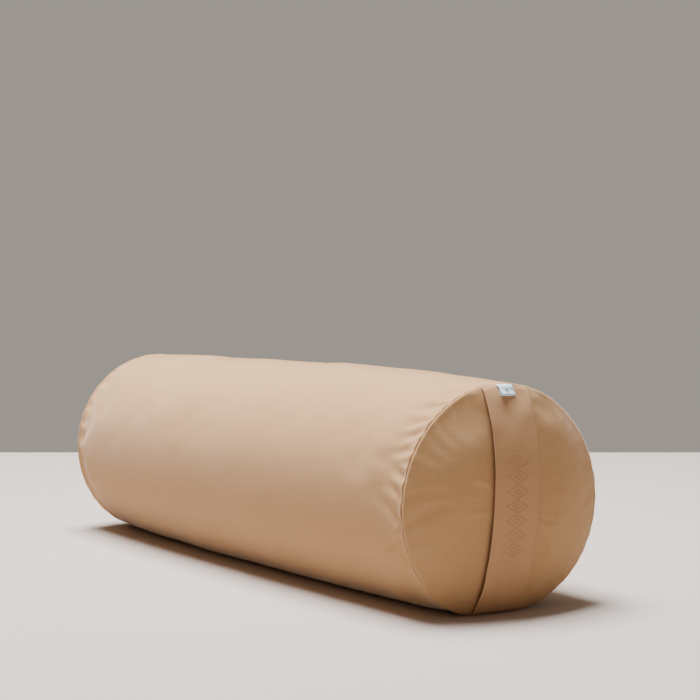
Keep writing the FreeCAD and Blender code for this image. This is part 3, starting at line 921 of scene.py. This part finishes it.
def scatter(name, points, turns, treeAndSockets, size, wire=0.0):
    tree, sockets = treeAndSockets
    mesh = bpy.data.meshes.new(name)
    mesh.from_pydata([tuple(p) for p in points], [], [])
    attribute = mesh.attributes.new("turn", "FLOAT_VECTOR", "POINT")
    attribute.data.foreach_set("vector", np.asarray(turns, dtype=np.float32).ravel())
    piece = link(name, mesh)
    modifier = piece.modifiers.new("repeat", "NODES")
    modifier.node_group = tree
    modifier[sockets["size"]] = size
    modifier[sockets["wire"]] = wire
    bakeModifiers(piece)
    return piece


def turnTo(forward, up):
    # Euler angles that send X to forward and Z to up
    forward = Vector(forward).normalized()
    up = Vector(up)
    up = (up - forward * up.dot(forward)).normalized()
    side = up.cross(forward)
    return tuple(Matrix((forward, side, up)).transposed().to_euler())


def atZip(x, outwards, around):
    c, s = math.cos(zipAngle), math.sin(zipAngle)
    return Vector((x, outwards * c - around * s, axisHeight + outwards * s + around * c))


outwardsAtZip = Vector((0, math.cos(zipAngle), math.sin(zipAngle)))
alongZip = Vector((1, 0, 0))
aroundZip = Vector((0, -math.sin(zipAngle), math.cos(zipAngle)))

zipLook = {
    "stitchPitch": 3.4 * mm,
    "stitchLength": 2.7 * mm,
    "stitchThick": 0.5 * mm,
    "stitchLine": 7.6 * mm,
    "coilPitch": 1.7 * mm,
    "coilWire": 0.62 * mm,
    "coilOut": 2.75 * mm,
    "coilIn": 0.3 * mm,
    "coilHeight": 2.1 * mm,
}


def scatterStitches(name, points, turns, flatness):
    thick = zipLook["stitchThick"]
    return scatter(name, points, turns, instanceTree(name, threadPolyester, "stitch"),
                   (zipLook["stitchLength"], thick, thick * flatness))


def makeSeamStitches():
    # the hidden rows that join the seam allowances inside the cover
    points, turns = [], []
    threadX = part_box("handle_end_seam_thread")[0].x
    r = float(sideRadius(np.array(threadX), np.array(math.pi))) - 4.2 * mm
    count = int(2 * math.pi * r / zipLook["stitchPitch"])
    for side in (1, -1):
        for number in range(count):
            turn = number * 2 * math.pi / count
            z = max(axisHeight + r * math.sin(turn), 3.4 * mm)
            points.append((side * threadX, r * math.cos(turn), z))
            turns.append(turnTo((0, -math.sin(turn), math.cos(turn)), (0, math.cos(turn), math.sin(turn))))
    return scatterStitches("seamStitches", points, turns, 1.0)


def makeZipStitches():
    points, turns = [], []
    count = int(2 * (zipHalfLength + 3 * mm) / zipLook["stitchPitch"])
    for side in (1, -1):
        for number in range(count):
            x = (number - (count - 1) / 2) * zipLook["stitchPitch"]
            around = side * zipLook["stitchLine"]
            points.append(atZip(x, math.sqrt(radius ** 2 - around ** 2) + 0.12 * mm, around))
            turns.append(turnTo(alongZip, outwardsAtZip))
    for side in (1, -1):
        for number in range(-2, 3):
            around = number * 3.3 * mm
            height = math.sqrt(radius ** 2 - around ** 2) - 0.1 * mm
            points.append(atZip(side * (zipHalfLength + 3.2 * mm), height, around))
            turns.append(turnTo(aroundZip, outwardsAtZip))
    return scatterStitches("zipStitches", points, turns, 0.8)


def makeZipCoil(name, side):
    coilLow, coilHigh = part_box("zip_upper_coil")
    count = int((coilHigh.x - coilLow.x) / zipLook["coilPitch"])
    middle = side * (zipLook["coilOut"] + zipLook["coilIn"]) / 2
    points, turns = [], []
    for number in range(count):
        x = coilLow.x + (number + (0.75 if side > 0 else 0.25)) * zipLook["coilPitch"]
        points.append(atZip(x, radius - cover["cloth"] + zipLook["coilHeight"] / 2, middle))
        turns.append(turnTo(aroundZip * side + alongZip * 0.12, alongZip))
    wire = zipLook["coilWire"]
    size = (zipLook["coilOut"] - zipLook["coilIn"] - wire, zipLook["coilHeight"] - wire, 1.0)
    return scatter(name, points, turns, instanceTree(name, coilNylon, "loop"), size, wire / 2)


seamStitches = makeSeamStitches()
zipStitches = makeZipStitches()
upperCoil = makeZipCoil("zipUpperCoil", 1)
lowerCoil = makeZipCoil("zipLowerCoil", -1)
print("zip made")


# The strap's print and the label's mark: plain lozenges

printed = {
    "count": 7,
    "pitch": 12.6 * mm,
    "size": (22.5 * mm, 11.5 * mm, 1.0),
    "innerSize": (8.5 * mm, 4.4 * mm, 1.0),
    "line": 1.25 * mm,           # half of the printed line's width
    "markPlace": (0.45, 0.66),   # shares of the label's width and length
    "markLift": 0.04 * mm,
    "markSize": (4.0 * mm, 3.2 * mm, 1.0),
    "markLine": 0.5 * mm,
}


def strapSpot(s, v):
    # a place on the strap's face, and the ways along its width and out of it
    y = strap["offset"] + s
    up, down = strapReach(y)
    spots = []
    for ds, dv in ((0, 0), (1 * mm, 0), (0, 1 * mm)):
        w = (v + dv) / (up if v + dv >= 0 else down)
        x, y, height = strapSurface(np.array(s + ds), np.array(w))
        spots.append(Vector([float(part) for part in leaned(x + strap["thickness"], y, height)]))
    across = (spots[1] - spots[0]).normalized()
    upwards = (spots[2] - spots[0]).normalized()
    return spots[0], across, across.cross(upwards)


def makePrint(name, side):
    places = [(n - (printed["count"] - 1) / 2) * printed["pitch"] for n in range(printed["count"])]
    places = [v for v in places if (v > -1 * mm) == (side > 0)]
    points, turns = [], []
    for v in places:
        spot, across, outwards = strapSpot(0.0, v)
        points.append(spot + outwards * 0.02 * mm)
        turns.append(turnTo(across, outwards))
    return [scatter(name + word, points, turns, instanceTree(name + " " + word.lower(), printInk, "lozenge"),
                    size, printed["line"])
            for word, size in (("Outer", printed["size"]), ("Inner", printed["innerSize"]))]


upperPrint = makePrint("upperPrint", 1)
lowerPrint = makePrint("lowerPrint", -1)


def makeLabelMark():
    share, distance = printed["markPlace"]
    distance *= label["length"]
    middle, normal = labelFrame(share, distance)
    along = Vector(labelFrame(share, distance + 0.5 * mm)[0] - middle)
    across = Vector(labelFrame(share + 0.1, distance)[0] - middle)
    outwards = along.cross(across).normalized()
    outwards *= 1 if outwards.dot(Vector(normal)) > 0 else -1
    spot = Vector(middle) + outwards * (label["fold"] + 0.15 * mm + label["layer"] + printed["markLift"])
    return scatter("labelMark", [spot], [turnTo(along, outwards)],
                   instanceTree("label mark", ribbonMark, "lozenge"), printed["markSize"],
                   printed["markLine"])


labelMark = makeLabelMark()
print("print and mark made")


# Carried-over frame pieces get their real finish

nodeFinish = {
    "zip_upper_tape": zipTape, "zip_lower_tape": zipTape, "care_label": satin, "filling_core_roll": batting,
    "zip_top_stops": nickel, "zip_bottom_stop": nickel, "zip_slider": nickel, "zip_pull_tab": nickel,
}
for node, material in nodeFinish.items():
    slots = frame["nodes"][node].data.materials
    for number in range(len(slots)):
        slots[number] = material

for piece, *nodes in (
        (coverSide, "side_panel"), (handleEnd, "handle_end_panel"), (plainEnd, "plain_end_panel"),
        (zipStitches, "zip_stitching"), (upperCoil, "zip_upper_coil"), (lowerCoil, "zip_lower_coil"),
        (linerSide, "liner_side_panel"), (fillingWrap, "filling_wrap"), *innerCaps,
        (seamStitches, "handle_end_seam_thread", "plain_end_seam_thread")):
    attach(piece, "bolster")
    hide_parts(*nodes)

for piece, side, node, marks in ((upperStrap, 1, "strap_upper_end", upperPrint),
                                 (lowerStrap, -1, "strap_lower_end", lowerPrint)):
    for part in (piece, *marks):
        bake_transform(part)
    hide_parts("handle_strap", node)

for piece in (wovenLabel, labelMark):
    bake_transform(piece)
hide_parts("seam_label")
print("pieces placed on their bodies")


# Floor, light and camera

view = {
    "lens": 91.8,
    "spot": (1.5496, -0.9573, 0.3013),
    "tilt": 2.695,       # degrees below level
    "turn": 56.82,
    "floorAhead": 2.876,  # the pale floor ends this far in front of the camera
    "floorReach": 8,      # and goes this far behind it and to each side
}
light = {
    "wall": "#A59D94",       # the plain wall behind
    "room": "#6E645A",       # the darker room behind the camera
    "overhead": 242,
    "overheadSize": (1.4, 1.1),
    "overheadColour": "#FBFBFF",
    "overheadAside": 0.28,   # this far to the left and beyond the object's middle
    "overheadHeight": 2.4,
}


def makeStage():
    turn = math.radians(view["turn"])
    ahead = Vector((-math.sin(turn), math.cos(turn), 0))
    right = Vector((math.cos(turn), math.sin(turn), 0))
    eye = Vector((view["spot"][0], view["spot"][1], 0))
    far = eye + ahead * view["floorAhead"]
    near = eye - ahead * view["floorReach"]
    aside = right * view["floorReach"]
    corners = [far - aside, near - aside, near + aside, far + aside]
    floor = meshObject("floor", corners, [(0, 1, 2, 3)], smooth=False)
    paint = solidMaterial("pale floor", "#C1B6AC", "#BCB0A6", 400 * mm, 0.75, bump=0.0)
    floor.data.materials.append(paint)

    world = bpy.data.worlds.new("studio")
    world.use_nodes = True
    tree = world.node_tree
    direction = addNode(tree, "ShaderNodeTexCoord").outputs["Generated"]
    facing = addNode(tree, "ShaderNodeVectorMath", {"operation": "DOT_PRODUCT"}, {1: tuple(ahead)},
                     {0: direction})
    share = addNode(tree, "ShaderNodeMapRange", {"interpolation_type": "SMOOTHSTEP"},
                    {"From Min": -0.6, "From Max": 0.7}, {"Value": facing.outputs["Value"]})
    tree.links.new(blendColours(tree, share.outputs[0], light["room"], light["wall"]),
                   tree.nodes["Background"].inputs["Color"])
    bpy.context.scene.world = world

    lamp = bpy.data.lights.new("overhead softbox", "AREA")
    lamp.shape = "RECTANGLE"
    lamp.size, lamp.size_y = light["overheadSize"]
    lamp.energy = light["overhead"]
    lamp.color = linear(light["overheadColour"])[:3]
    holder = link("overhead softbox", lamp)
    holder.location = (ahead - right) * light["overheadAside"] + Vector((0, 0, light["overheadHeight"]))
    aim = Vector((0, 0, 0.1)) - holder.location
    holder.rotation_euler = aim.to_track_quat("-Z", "Y").to_euler()

    lens = bpy.data.cameras.new("camera")
    lens.lens = view["lens"]
    lens.clip_start = 0.05
    camera = link("camera", lens)
    camera.location = view["spot"]
    camera.rotation_euler = (math.radians(90 - view["tilt"]), 0, turn)
    bpy.context.scene.camera = camera


makeStage()
print("stage, lights and camera made")
